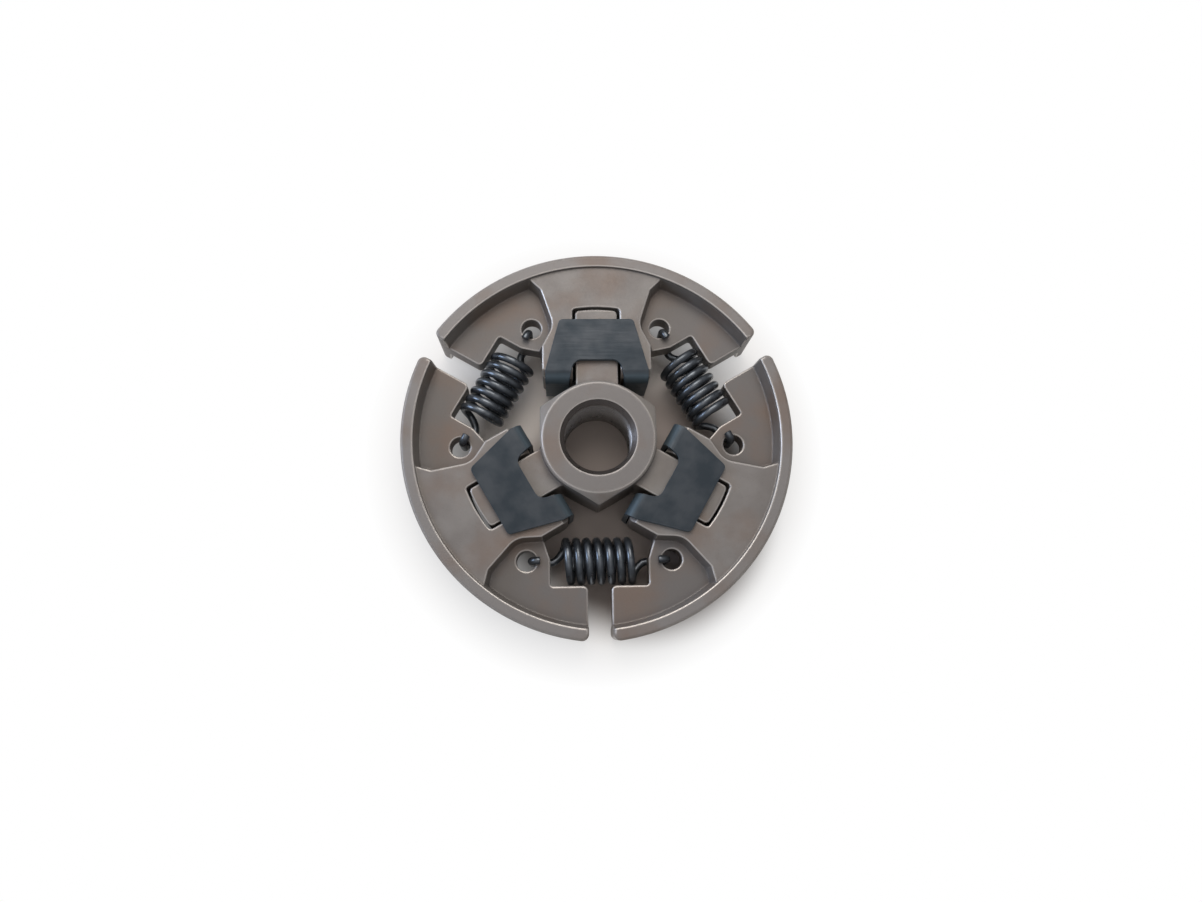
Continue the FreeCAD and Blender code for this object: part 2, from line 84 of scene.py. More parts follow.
# How finely round shapes are drawn.
COIL_STEPS = 40
SEAM_SHARES = (1 / 27, 1 / 9, 1 / 3)
BEND_STEPS = 12
LEAD_STEPS = 24
WIRE_SIDES = 20
THREAD_STEPS = 120
SMOOTH_ANGLE = math.radians(28)

# Thread from crest to root and back: share of the pitch, and share of the depth.
THREAD_PROFILE = ((0.0, 0.0), (0.16, 0.0), (0.54, 1.0), (0.62, 1.0))

# Rounded end of a spring's wire: its length and its width as shares of the wire's radius.
WIRE_END_LENGTH = 0.15
WIRE_END_WIDTH = 0.85

# Where a finish of the sintered steel starts and where it is full: the recess floors and the rims'
# faces from the shoes' middle, the friction faces and the rubbed edges with their painted highlight from the
# axis.
FLOOR_LEVELS = (3.2 * MM, 2.6 * MM)
RIM_LEVELS = (4.95 * MM, 5.3 * MM)
FRICTION_REACH = (31.85 * MM, 31.95 * MM)
EDGE_WEAR_AND_HIGHLIGHT_REACH = (31.6 * MM, 31.2 * MM)

# Where the paper starts to turn white and where it is white, around the axis and around the painted
# shade under the clutch, as shares of the clutch's radius.
CLUTCH_RADIUS = max(CAD_BOX[1].x, CAD_BOX[1].y)
WHITE_SPAN = (0.62, 1.25)
FLOOR_SHADE_SPAN = (0.53, 0.78)

# Half of the paper's side, and the gap between it and the clutch, in metres.
PAPER_HALF = 1.5
PAPER_GAP = 0.02 * MM

# A Mix node's sockets for colours and for numbers, which all have the same names.
COLOUR_A, COLOUR_B, COLOUR_OUT = 6, 7, 2
NUMBER_A, NUMBER_B, NUMBER_OUT = 2, 3, 0


def linear(code):
    """Linear colour of an sRGB hex value."""
    parts = [int(code[start:start + 2], 16) / 255 for start in (1, 3, 5)]
    levels = [part / 12.92 if part <= 0.04045 else ((part + 0.055) / 1.055) ** 2.4 for part in parts]
    return (*levels, 1.0)


def length(name, description, millimetres):
    """Property for a size."""
    return bpy.props.FloatProperty(
        name=name, description=description, default=millimetres * MM, precision=5,
        unit="LENGTH", subtype="DISTANCE")


def amount(name, description, default, subtype="NONE"):
    """Property for a number that is no length."""
    return bpy.props.FloatProperty(name=name, description=description, default=default, subtype=subtype)


def colour(name, description, code):
    """Property for a colour."""
    return bpy.props.FloatVectorProperty(
        name=name, description=description, default=linear(code), size=4, min=0.0, max=1.0,
        subtype="COLOR")


def spot(name, description, *millimetres):
    """Property for a place."""
    return bpy.props.FloatVectorProperty(
        name=name, description=description, default=[value * MM for value in millimetres],
        unit="LENGTH", subtype="TRANSLATION")


class ClutchFinishSettings(bpy.types.PropertyGroup):
    """Colours and edge radii of the clutch's surfaces."""

    sintered: colour("Sintered steel", "Steam-treated sintered steel", "#797470")
    sintered_pale: colour("Sintered steel, pale", "Paler clouds on the sintered steel", "#85817d")
    sintered_warm: colour("Sintered steel, warm", "Browner stains on the sintered steel", "#79685c")
    # A darker tone on the recess floors.
    sintered_hollow: colour("Sintered steel, hollow", "Oxide that stays dark in the recesses", "#706c69")
    sintered_rim: colour("Sintered steel, rims", "Rims of the shoes, which lie on other things", "#84807d")
    sintered_hub: colour("Sintered steel, hub", "Turned end faces of the hub", "#7a7673")
    # The bevels' paler colour is painted light, standing in for light the sloped faces miss.
    sintered_bevel_painted_light: colour("Sintered steel, bevel", "Bevels of the rims and of the hub's corners", "#98938e")
    sintered_ground: colour("Sintered steel, ground", "Friction faces, ground to the drum's size", "#8e8a87")
    # This pale edge colour is partly wear and partly a painted highlight.
    sintered_edge_wear_and_highlight: colour("Sintered steel, edge", "Edges that handling has rubbed bright", "#ddd8d2")
    # The pores are the steel's own; the same dark colour also paints shade into the corners.
    sintered_pore_and_painted_shade: colour("Sintered steel, pore", "Oil-dark pores and corners", "#3b3532")
    blued: colour("Blued sheet", "Blued spring steel of the retainers", "#242e36")
    blued_pale: colour("Blued sheet, pale", "Greyer clouds and streaks along the rolled sheet", "#3a4046")
    # This paler blue-grey is a painted highlight on the bends, and wear with painted highlight on the edges.
    blued_edge_wear_and_highlight: colour("Blued sheet, edge", "Sheared and bent edges of the retainers", "#5d6c75")
    wire: colour("Spring wire", "Oil-tempered wire", "#585d62")
    wire_pale: colour("Spring wire, pale", "Greyer patches on the wire", "#747a80")
    turned: colour("Turned steel", "Crests of the thread in the hub", "#9c9793")
    mouth: colour("Turned steel, mouths", "Countersinks of the bore", "#746e6a")
    thread_root: colour("Thread root", "Oil-dark roots of the thread", "#4a4440")
    edge_round: length("Edge radius", "Radius that the tumbled edges of the sintered steel show", 0.55)
    sheet_edge_round: length("Sheet edge radius", "Radius on the retainers' sheared edges", 0.12)


class ClutchSpringSettings(bpy.types.PropertyGroup):
    """Sizes of the tension springs."""

    wire: length("Wire", "Diameter of the wire", 1.3)
    coil_diameter: length("Coil", "Outer diameter of the coil", 7.9)
    coil_pitch: length("Pitch", "Pitch of the coil as fitted", 1.68)
    coil_turns: amount("Turns", "Turns of the coil", 6.7)
    hook_level: length("Hook level", "Hook wire's middle above and below the web's middle", 2.65)
    hook_span: length("Hook span", "Rising part of a hook from the coil's middle", 11.014)
    hook_start: length("Hook start", "Where the wire goes under the web, from the coil's middle", 8.05)
    hook_bend: length("Hook bend", "Radius of the hook's bends along the wire's middle", 1.1)
    hook_tip: length("Hook tip", "Straight end past the last bend", 0.2)


class ClutchThreadSettings(bpy.types.PropertyGroup):
    """Sizes of the crankshaft thread."""

    bore: length("Bore", "Tapping diameter, between the thread's crests", 11.1)
    mouth: length("Mouth", "Diameter of the countersinks", 12.6)
    depth: length("Depth", "Depth of the thread's groove", 0.5)
    pitch: length("Pitch", "Pitch of the left-hand thread", 1.0)


class ClutchStageSettings(bpy.types.PropertyGroup):
    """Floor, light and camera."""

    floor: colour("Floor", "Matt studio paper", "#ece6e0")
    # The darker paper under the clutch is painted shade.
    stain: colour("Floor stain", "Oil-stained paper under the clutch", "#b0a6a0")
    floor_shade_place: spot("Stain place", "Middle of the oil stain", 8.0, -10.0, 0.0)
    camera_place: spot("Camera place", "Camera's position", -5.814, -31.427, 155.637)
    camera_turn: bpy.props.FloatVectorProperty(
        name="Camera turn", description="Turns about X, then Y, then Z", subtype="EULER",
        default=(0.20062, -0.04229, -0.00925))
    focal_length: amount("Focal length", "Lens for a frame 36 mm wide", 27.044, "DISTANCE_CAMERA")
    sky: amount("Sky", "Strength of the dome's light at its brightest", 0.37)
    sky_side: bpy.props.FloatVectorProperty(
        name="Sky side", description="Where the dome is brightest: behind the top of the picture",
        subtype="DIRECTION", default=(-0.3, 0.65, 0.7))
    key: amount("Key light", "Soft light behind the top of the picture", 0.19, "POWER")
    window: amount("Window light", "Cool light from the left", 0.95, "POWER")
    ceiling: amount("Ceiling light", "Broad light above", 0.36, "POWER")


def add_node(tree, kind, values=None, links=None, **settings):
    """Node with its settings, the values of its sockets and what feeds them."""
    node = tree.nodes.new(kind)
    for name, value in settings.items():
        setattr(node, name, value)
    for socket, value in (values or {}).items():
        node.inputs[socket].default_value = value
    for socket, source in (links or {}).items():
        tree.links.new(source, node.inputs[socket])
    return node


def per_size(millimetres):
    """Scale of a pattern whose features are about this wide."""
    return 1 / (millimetres * MM)


def new_material(name):
    """Empty material and its node tree."""
    material = bpy.data.materials.new(name)
    material.use_nodes = True
    material.node_tree.nodes.clear()
    return material, material.node_tree


def lying_flat(tree, normal):
    """How flat a face lies: 1 where it faces up or down, 0 where it stands upright."""
    upward = add_node(tree, "ShaderNodeSeparateXYZ", None, {0: normal})
    return add_node(tree, "ShaderNodeMath", None, {0: upward.outputs["Z"]}, operation="ABSOLUTE").outputs[0]


def axis_distance(tree, place):
    """Distance of the surface from the crankshaft's axis."""
    across = add_node(tree, "ShaderNodeVectorMath", {1: (1.0, 1.0, 0.0)}, {0: place}, operation="MULTIPLY")
    return add_node(tree, "ShaderNodeVectorMath", None, {0: across.outputs[0]},
                    operation="LENGTH").outputs["Value"]


def edge_share(tree, rounded, shape, start, full, most):
    """Share of a finish on the edges, where rounding turns the normal away from the face's own.

    The share grows from none to the most as the two normals' product falls from start to full.
    """
    alike = add_node(tree, "ShaderNodeVectorMath", None,
                     {0: rounded.outputs["Normal"], 1: shape.outputs["Normal"]}, operation="DOT_PRODUCT")
    return add_node(tree, "ShaderNodeMapRange", {"From Min": start, "From Max": full, "To Max": most},
                    {"Value": alike.outputs["Value"]}).outputs[0]


def level_shares(tree, height, facing):
    """Shares of the recess floors, of the rims' faces and of the bevels beside those, whose paler colour is
    painted light.
    """
    above = add_node(tree, "ShaderNodeMath", {1: SHOE_MIDDLE}, {0: height}, operation="SUBTRACT")
    level = add_node(tree, "ShaderNodeMath", None, {0: above.outputs[0]}, operation="ABSOLUTE")
    low = add_node(tree, "ShaderNodeMapRange", {"From Min": FLOOR_LEVELS[0], "From Max": FLOOR_LEVELS[1]},
                   {"Value": level.outputs[0]})
    high = add_node(tree, "ShaderNodeMapRange", {"From Min": RIM_LEVELS[0], "From Max": RIM_LEVELS[1]},
                    {"Value": level.outputs[0]})
    flat = add_node(tree, "ShaderNodeMapRange", {"From Min": 0.9, "From Max": 0.97}, {"Value": facing})
    sloped = add_node(tree, "ShaderNodeMapRange", {"From Min": 0.3, "From Max": 0.6}, {"Value": facing})
    bevel = add_node(tree, "ShaderNodeMath", None, {0: sloped.outputs[0], 1: flat.outputs[0]},
                     operation="SUBTRACT", use_clamp=True)
    return [add_node(tree, "ShaderNodeMath", None, {0: slope.outputs[0], 1: tier.outputs[0]},
                     operation="MULTIPLY").outputs[0]
            for slope, tier in ((flat, low), (flat, high), (bevel, high))]


def ground_lines(tree, height, facing, reach):
    """Share of the friction faces' grinding, which leaves lines around them."""
    # The lines are 0.05 mm apart; they are drawn at 0.15 mm so that they show.
    lines = add_node(tree, "ShaderNodeTexNoise", {"Scale": per_size(0.15), "Detail": 2.0},
                     {"W": height}, noise_dimensions="1D")
    strength = add_node(tree, "ShaderNodeMapRange", {"From Min": 0.3, "From Max": 0.7, "To Min": 0.45},
                        {"Value": lines.outputs["Fac"]})
    upright = add_node(tree, "ShaderNodeMapRange", {"From Min": 0.3, "From Max": 0.1}, {"Value": facing})
    outer = add_node(tree, "ShaderNodeMapRange",
                     {"From Min": FRICTION_REACH[0], "From Max": FRICTION_REACH[1]}, {"Value": reach})
    friction = add_node(tree, "ShaderNodeMath", None, {0: upright.outputs[0], 1: outer.outputs[0]},
                        operation="MULTIPLY")
    return add_node(tree, "ShaderNodeMath", None, {0: friction.outputs[0], 1: strength.outputs[0]},
                    operation="MULTIPLY").outputs[0]


def rubbed_and_highlit_edges(tree, rounded, shape, open_air, reach):
    """Share of the edges that handling has rubbed bright and that get a painted highlight; those of the
    friction faces stay dull.
    """
    # Open, rounded edges get the pale colour: real wear and a painted highlight.
    edge = edge_share(tree, rounded, shape, 0.997, 0.95, 1.0)
    exposed_edge = add_node(tree, "ShaderNodeMapRange", {"From Min": 0.7, "From Max": 0.9, "To Max": 0.8},
                       {"Value": open_air})
    inner = add_node(tree, "ShaderNodeMapRange",
                     {"From Min": EDGE_WEAR_AND_HIGHLIGHT_REACH[0], "From Max": EDGE_WEAR_AND_HIGHLIGHT_REACH[1], "To Min": 0.15},
                     {"Value": reach})
    worn_and_highlit = add_node(tree, "ShaderNodeMath", None, {0: edge, 1: exposed_edge.outputs[0]}, operation="MULTIPLY")
    return add_node(tree, "ShaderNodeMath", None, {0: worn_and_highlit.outputs[0], 1: inner.outputs[0]},
                    operation="MULTIPLY").outputs[0]


def sintered_steel(name, finish, raised):
    """Pressed and sintered steel, steam treated: a matt warm grey with fine grain, painted shade in the
    corners and rubbed edges with a painted highlight.
    """
    material, tree = new_material(name)
    place = add_node(tree, "ShaderNodeTexCoord").outputs["Object"]
    shape = add_node(tree, "ShaderNodeNewGeometry")
    rounded = add_node(tree, "ShaderNodeBevel", {"Radius": finish.edge_round}, samples=8)
    open_air = add_node(tree, "ShaderNodeAmbientOcclusion", {"Distance": 1.5 * MM}, samples=6,
                        only_local=True).outputs["AO"]
    height = add_node(tree, "ShaderNodeSeparateXYZ", None, {0: place}).outputs["Z"]
    facing = lying_flat(tree, shape.outputs["True Normal"])
    reach = axis_distance(tree, place)

    # The recess floors are drawn darker and the faces that stand out paler; the bevels beside those are
    # painted paler, which is painted light.
    floor_share, rim_share, painted_bevel_light_share = level_shares(tree, height, facing)
    ground_share = ground_lines(tree, height, facing, reach)
    rubbed_and_highlight_share = rubbed_and_highlit_edges(tree, rounded, shape, open_air, reach)

    cloud = add_node(tree, "ShaderNodeTexNoise", {"Scale": per_size(5.0), "Detail": 4.0}, {"Vector": place})
    cloud_share = add_node(tree, "ShaderNodeMapRange", {"From Min": 0.35, "From Max": 0.65},
                           {"Value": cloud.outputs["Fac"]})
    stain = add_node(tree, "ShaderNodeTexNoise", {"Scale": per_size(9.0), "Detail": 4.0}, {"Vector": place})
    stain_share = add_node(tree, "ShaderNodeMapRange", {"From Min": 0.45, "From Max": 0.7, "To Max": 0.75},
                           {"Value": stain.outputs["Fac"]})
    pores = add_node(tree, "ShaderNodeTexVoronoi", {"Scale": per_size(0.45)}, {"Vector": place})
    pore_share = add_node(tree, "ShaderNodeMapRange", {"From Min": 0.2, "From Max": 0.05, "To Max": 0.2},
                          {"Value": pores.outputs["Distance"]})
    # Corners where the ambient occlusion finds the surface closed in are painted dark: painted shade.
    painted_corner_shade_share = add_node(tree, "ShaderNodeMapRange", {"From Min": 0.9, "From Max": 0.35, "To Max": 0.35},
                            {"Value": open_air})
    pore_and_painted_shade_share = add_node(tree, "ShaderNodeMath", None,
                          {0: pore_share.outputs[0], 1: painted_corner_shade_share.outputs[0]}, operation="MAXIMUM")

    tone = add_node(tree, "ShaderNodeMix", {COLOUR_A: finish.sintered, COLOUR_B: finish.sintered_pale},
                    {"Factor": cloud_share.outputs[0]}, data_type="RGBA")
    layers = (
        (finish.sintered_hollow, floor_share),
        (raised, rim_share),
        (finish.sintered_bevel_painted_light, painted_bevel_light_share),
        (finish.sintered_warm, stain_share.outputs[0]),
        (finish.sintered_ground, ground_share),
        (finish.sintered_pore_and_painted_shade, pore_and_painted_shade_share.outputs[0]),
        (finish.sintered_edge_wear_and_highlight, rubbed_and_highlight_share),
    )
    for layer, share in layers:
        tone = add_node(tree, "ShaderNodeMix", {COLOUR_B: layer},
                        {"Factor": share, COLOUR_A: tone.outputs[COLOUR_OUT]}, data_type="RGBA")

    # Grains are about 0.1 mm wide; they are drawn at 0.3 mm so that they show.
    grain = add_node(tree, "ShaderNodeTexNoise", {"Scale": per_size(0.3), "Detail": 3.0}, {"Vector": place})
    gloss = add_node(tree, "ShaderNodeMapRange",
                     {"From Min": 0.3, "From Max": 0.7, "To Min": 0.4, "To Max": 0.56},
                     {"Value": grain.outputs["Fac"]})
    # Where the oxide is ground or rubbed off, bare metal shows and is smoother.
    bare = add_node(tree, "ShaderNodeMath", None, {0: ground_share, 1: rubbed_and_highlight_share}, operation="MAXIMUM")
    polish = add_node(tree, "ShaderNodeMath", {1: -0.14}, {0: bare.outputs[0], 2: gloss.outputs[0]},
                      operation="MULTIPLY_ADD")
    metal = add_node(tree, "ShaderNodeMapRange", {"To Min": 0.2, "To Max": 0.85}, {"Value": bare.outputs[0]})
    relief = add_node(tree, "ShaderNodeBump", {"Strength": 0.35, "Distance": 0.02 * MM},
                      {"Height": grain.outputs["Fac"], "Normal": rounded.outputs["Normal"]})
    surface = add_node(tree, "ShaderNodeBsdfPrincipled", {"Specular IOR Level": 0.4},
                       {"Base Color": tone.outputs[COLOUR_OUT], "Metallic": metal.outputs[0],
                        "Roughness": polish.outputs[0], "Normal": relief.outputs["Normal"]})
    add_node(tree, "ShaderNodeOutputMaterial", None, {"Surface": surface.outputs[0]})
    return material


def blued_sheet(name, finish, bearing):
    """Rolled spring steel, blued: a satin blue-black with faint streaks along the bends, and a painted
    highlight on the bends and edges.
    """
    material, tree = new_material(name)
    place = add_node(tree, "ShaderNodeTexCoord").outputs["Object"]
    shape = add_node(tree, "ShaderNodeNewGeometry")
    rounded = add_node(tree, "ShaderNodeBevel", {"Radius": finish.sheet_edge_round}, samples=6)
    cloud = add_node(tree, "ShaderNodeTexNoise", {"Scale": per_size(4.0), "Detail": 3.0}, {"Vector": place})
    turned = add_node(tree, "ShaderNodeVectorRotate", {"Angle": -bearing}, {"Vector": place},
                      rotation_type="Z_AXIS")
    along = add_node(tree, "ShaderNodeMapping", {"Scale": (0.06, 1.0, 1.0)}, {"Vector": turned.outputs[0]})
    # Rolling streaks are about 0.05 mm wide; they are drawn at 0.25 mm so that they show.
    streak = add_node(tree, "ShaderNodeTexNoise", {"Scale": per_size(0.25), "Detail": 2.0},
                      {"Vector": along.outputs[0]})
    uneven = add_node(tree, "ShaderNodeMix", {"Factor": 0.12},
                      {NUMBER_A: cloud.outputs["Fac"], NUMBER_B: streak.outputs["Fac"]})
    pale_share = add_node(tree, "ShaderNodeMapRange", {"From Min": 0.38, "From Max": 0.62},
                          {"Value": uneven.outputs[NUMBER_OUT]})
    base = add_node(tree, "ShaderNodeMix", {COLOUR_A: finish.blued, COLOUR_B: finish.blued_pale},
                    {"Factor": pale_share.outputs[0]}, data_type="RGBA")

    # The bends and the legs are painted paler as a painted reflection of the window light; the edges get the
    # same colour as wear and painted highlight.
    bent = add_node(tree, "ShaderNodeMapRange", {"From Min": 0.99, "From Max": 0.85, "To Max": 0.8},
                    {"Value": lying_flat(tree, shape.outputs["Normal"])})
    bend_highlight_and_edge_wear = add_node(tree, "ShaderNodeMath", None,
                         {0: bent.outputs[0], 1: edge_share(tree, rounded, shape, 0.99, 0.85, 0.6)},
                         operation="MAXIMUM")
    worn_and_highlit = add_node(tree, "ShaderNodeMix", {COLOUR_B: finish.blued_edge_wear_and_highlight},
                    {"Factor": bend_highlight_and_edge_wear.outputs[0], COLOUR_A: base.outputs[COLOUR_OUT]}, data_type="RGBA")
    gloss = add_node(tree, "ShaderNodeMapRange",
                     {"From Min": 0.3, "From Max": 0.7, "To Min": 0.36, "To Max": 0.5},
                     {"Value": streak.outputs["Fac"]})
    relief = add_node(tree, "ShaderNodeBump", {"Strength": 0.2, "Distance": 0.01 * MM},
                      {"Height": streak.outputs["Fac"], "Normal": rounded.outputs["Normal"]})
    surface = add_node(tree, "ShaderNodeBsdfPrincipled", {"Metallic": 0.5},
                       {"Base Color": worn_and_highlit.outputs[COLOUR_OUT], "Roughness": gloss.outputs[0],
                        "Normal": relief.outputs["Normal"]})
    add_node(tree, "ShaderNodeOutputMaterial", None, {"Surface": surface.outputs[0]})
    return material


def spring_wire(name, finish):
    """Oil-tempered spring wire: a dark blue-grey with crisp highlights."""
    material, tree = new_material(name)
    place = add_node(tree, "ShaderNodeTexCoord").outputs["Object"]
    patch = add_node(tree, "ShaderNodeTexNoise", {"Scale": per_size(1.6), "Detail": 4.0}, {"Vector": place})
    share = add_node(tree, "ShaderNodeMapRange", {"From Min": 0.4, "From Max": 0.7},
                     {"Value": patch.outputs["Fac"]})
    base = add_node(tree, "ShaderNodeMix", {COLOUR_A: finish.wire, COLOUR_B: finish.wire_pale},
                    {"Factor": share.outputs[0]}, data_type="RGBA")
    gloss = add_node(tree, "ShaderNodeMapRange",
                     {"From Min": 0.3, "From Max": 0.7, "To Min": 0.25, "To Max": 0.36},
                     {"Value": patch.outputs["Fac"]})
    relief = add_node(tree, "ShaderNodeBump", {"Strength": 0.15, "Distance": 0.02 * MM},
                      {"Height": patch.outputs["Fac"]})
    surface = add_node(tree, "ShaderNodeBsdfPrincipled", {"Metallic": 0.85},
                       {"Base Color": base.outputs[COLOUR_OUT], "Roughness": gloss.outputs[0],
                        "Normal": relief.outputs["Normal"]})
    add_node(tree, "ShaderNodeOutputMaterial", None, {"Surface": surface.outputs[0]})
    return material


def turned_steel(name, thread, crest, root):
    """Sintered steel cut with a tool: smooth and bare, with another colour in a thread's roots."""
    material, tree = new_material(name)
    place = add_node(tree, "ShaderNodeTexCoord").outputs["Object"]
    around = add_node(tree, "ShaderNodeMapping", {"Scale": (0.15, 0.15, 1.0)}, {"Vector": place})
    # Tool marks run around the bore about 0.05 mm apart; they are drawn at 0.2 mm so that they show.
    marks = add_node(tree, "ShaderNodeTexNoise", {"Scale": per_size(0.2), "Detail": 2.0},
                     {"Vector": around.outputs[0]})
    crests = thread.bore / 2
    root_share = add_node(tree, "ShaderNodeMapRange",
                          {"From Min": crests + thread.depth * 0.2, "From Max": crests + thread.depth * 0.8},
                          {"Value": axis_distance(tree, place)})
    base = add_node(tree, "ShaderNodeMix", {COLOUR_A: crest, COLOUR_B: root},
                    {"Factor": root_share.outputs[0]}, data_type="RGBA")
    gloss = add_node(tree, "ShaderNodeMapRange",
                     {"From Min": 0.3, "From Max": 0.7, "To Min": 0.24, "To Max": 0.4},
                     {"Value": marks.outputs["Fac"]})
    surface = add_node(tree, "ShaderNodeBsdfPrincipled", {"Metallic": 0.85},
                       {"Base Color": base.outputs[COLOUR_OUT], "Roughness": gloss.outputs[0]})
    add_node(tree, "ShaderNodeOutputMaterial", None, {"Surface": surface.outputs[0]})
    return material


def seen_rays(tree):
    """Output that is 1 for what the camera sees, also in a mirror or through glass."""
    rays = add_node(tree, "ShaderNodeLightPath")
    seen = rays.outputs["Is Camera Ray"]
    for kind in ("Is Glossy Ray", "Is Transmission Ray"):
        seen = add_node(tree, "ShaderNodeMath", None, {0: seen, 1: rays.outputs[kind]},
                        operation="MAXIMUM").outputs[0]
    return seen


def studio_paper(name, stage):
    """Matt white paper with a darker patch under the clutch: painted shade in the clutch's gaps, on top of
    the real shadow there.
    """
    material, tree = new_material(name)
    place = add_node(tree, "ShaderNodeTexCoord").outputs["Object"]
    reach = add_node(tree, "ShaderNodeVectorMath", None, {0: place}, operation="LENGTH")
    beyond = add_node(tree, "ShaderNodeMapRange",
                      {"From Min": WHITE_SPAN[0] * CLUTCH_RADIUS, "From Max": WHITE_SPAN[1] * CLUTCH_RADIUS},
                      {"Value": reach.outputs["Value"]})
    away = add_node(tree, "ShaderNodeVectorMath", {1: stage.floor_shade_place}, {0: place}, operation="DISTANCE")
    beside = add_node(tree, "ShaderNodeMapRange",
                      {"From Min": FLOOR_SHADE_SPAN[0] * CLUTCH_RADIUS, "From Max": FLOOR_SHADE_SPAN[1] * CLUTCH_RADIUS},
                      {"Value": away.outputs["Value"]}, interpolation_type="SMOOTHSTEP")
    white_share = add_node(tree, "ShaderNodeMath", None, {0: beside.outputs[0], 1: beyond.outputs[0]},
                           operation="MULTIPLY")
    # Only what is seen turns white: the paper lights the clutch as plain paper does.
    seen_share = add_node(tree, "ShaderNodeMath", None, {0: seen_rays(tree), 1: white_share.outputs[0]},
                          operation="MULTIPLY")
    # Under the clutch the paper takes the darker tone: painted shade.
    tone = add_node(tree, "ShaderNodeMix", {COLOUR_A: stage.stain, COLOUR_B: stage.floor},
                    {"Factor": beside.outputs[0]}, data_type="RGBA")
    paper = add_node(tree, "ShaderNodeBsdfDiffuse", None, {"Color": tone.outputs[COLOUR_OUT]})
    white = add_node(tree, "ShaderNodeEmission", {"Color": linear("#ffffff"), "Strength": 1.0})
    surface = add_node(tree, "ShaderNodeMixShader", None,
                       {0: seen_share.outputs[0], 1: paper.outputs[0], 2: white.outputs[0]})
    add_node(tree, "ShaderNodeOutputMaterial", None, {"Surface": surface.outputs[0]})
    return material


def studio_sky(name, stage):
    """Dome of soft light, brighter on one side."""
    world = bpy.data.worlds.new(name)
    world.use_nodes = True
    tree = world.node_tree
    tree.nodes.clear()
    place = add_node(tree, "ShaderNodeTexCoord").outputs["Generated"]
    toward = add_node(tree, "ShaderNodeVectorMath", {1: stage.sky_side}, {0: place}, operation="DOT_PRODUCT")
    glow = add_node(tree, "ShaderNodeMapRange",
                    {"From Min": -0.6, "From Max": 1.0, "To Min": 0.5 * stage.sky, "To Max": stage.sky},
                    {"Value": toward.outputs["Value"]})
    light = add_node(tree, "ShaderNodeBackground", {"Color": linear("#f8f9ff")},
                     {"Strength": glow.outputs[0]})
    add_node(tree, "ShaderNodeOutputWorld", None, {"Surface": light.outputs[0]})
    return world


def dress(node, material):
    """Give a node of the frame one material."""
    node.data.materials.clear()
    node.data.materials.append(material)


def add_object(name, data):
    """Object in the scene."""
    item = bpy.data.objects.new(name, data)
    bpy.context.scene.collection.objects.link(item)
    return item


def add_piece(name, shape, *materials):
    """Object from a finished bmesh, smooth up to the sharp edges."""
    mesh = bpy.data.meshes.new(name)
    shape.to_mesh(mesh)
    shape.free()
    # Normals kept from a CAD mesh would hide the sharp edges that are set here.
    own_normals = mesh.attributes.get("custom_normal")
    if own_normals:
        mesh.attributes.remove(own_normals)
    mesh.polygons.foreach_set("use_smooth", [True] * len(mesh.polygons))
    mesh.set_sharp_from_angle(angle=SMOOTH_ANGLE)
    for material in materials:
        mesh.materials.append(material)
    return add_object(name, mesh)


def thread_wall(thread, low, high):
    """Left-hand thread as a wall around the bore, which fades out at both mouths."""
    shape = bmesh.new()
    turns = math.ceil((high - low) / thread.pitch) + 2
    levels = [(turn + share, depth) for turn in range(turns) for share, depth in THREAD_PROFILE]
    # The turns run on past both mouths, and there each row is held at the mouth's height.
    rows = []
    for level, depth in levels:
        row = []
        for step in range(THREAD_STEPS + 1):
            turn = step / THREAD_STEPS
            height = min(max(low + (level - 1 - turn) * thread.pitch, low), high)
            fade = min((height - low) / thread.pitch, (high - height) / thread.pitch, 1.0)
            radius = thread.bore / 2 + thread.depth * depth * fade
            angle = 2 * math.pi * turn
            row.append(shape.verts.new((radius * math.cos(angle), radius * math.sin(angle), height)))
        rows.append(row)
    for row, above in zip(rows, rows[1:]):
        for step in range(THREAD_STEPS):
            shape.faces.new((row[step], above[step], above[step + 1], row[step + 1]))
    bmesh.ops.remove_doubles(shape, verts=shape.verts, dist=WELD)
    return shape


def half_spring_path(spring):
    """Middle line of the wire from the coil's middle to the tip of one hook, along X with Z to the front."""
    mean = (spring.coil_diameter - spring.wire) / 2
    lead = spring.coil_pitch / (2 * math.pi)
    last = math.pi * spring.coil_turns
    count = round(last / (2 * math.pi) * COIL_STEPS)
    angles = [last * step / count for step in range(count + 1)]
    # Finer steps at the start keep the joint between a spring's two halves from showing.
    angles[1:1] = [angles[1] * share for share in SEAM_SHARES]
    path = [Vector((lead * angle, -mean * math.sin(angle), mean * math.cos(angle))) for angle in angles]

    # A cubic curve leads from the coil's last turn to where the wire goes under the web.
    under = Vector((spring.hook_start, 0, -spring.hook_level))
    heading = Vector((lead, -mean * math.cos(last), -mean * math.sin(last))).normalized()
    reach = (under - path[-1]).length / 3
    control = [path[-1], path[-1] + heading * reach, under - Vector((reach, 0, 0)), under]
    for step in range(1, LEAD_STEPS + 1):
        share = step / LEAD_STEPS
        weights = [math.comb(3, power) * share ** power * (1 - share) ** (3 - power) for power in range(4)]
        path.append(sum((point * weight for point, weight in zip(control, weights)), Vector()))

    # Two quarter bends take the wire up through its hole and back over the web.
    side = spring.hook_span - spring.hook_bend
    rise = spring.hook_level - spring.hook_bend
    for height, start in ((-rise, -90), (rise, 0)):
        for step in range(BEND_STEPS + 1):
            angle = math.radians(start + 90 * step / BEND_STEPS)
            path.append(Vector((side + spring.hook_bend * math.cos(angle), 0,
                                height + spring.hook_bend * math.sin(angle))))
    path.append(path[-1] - Vector((spring.hook_tip, 0, 0)))
    return path


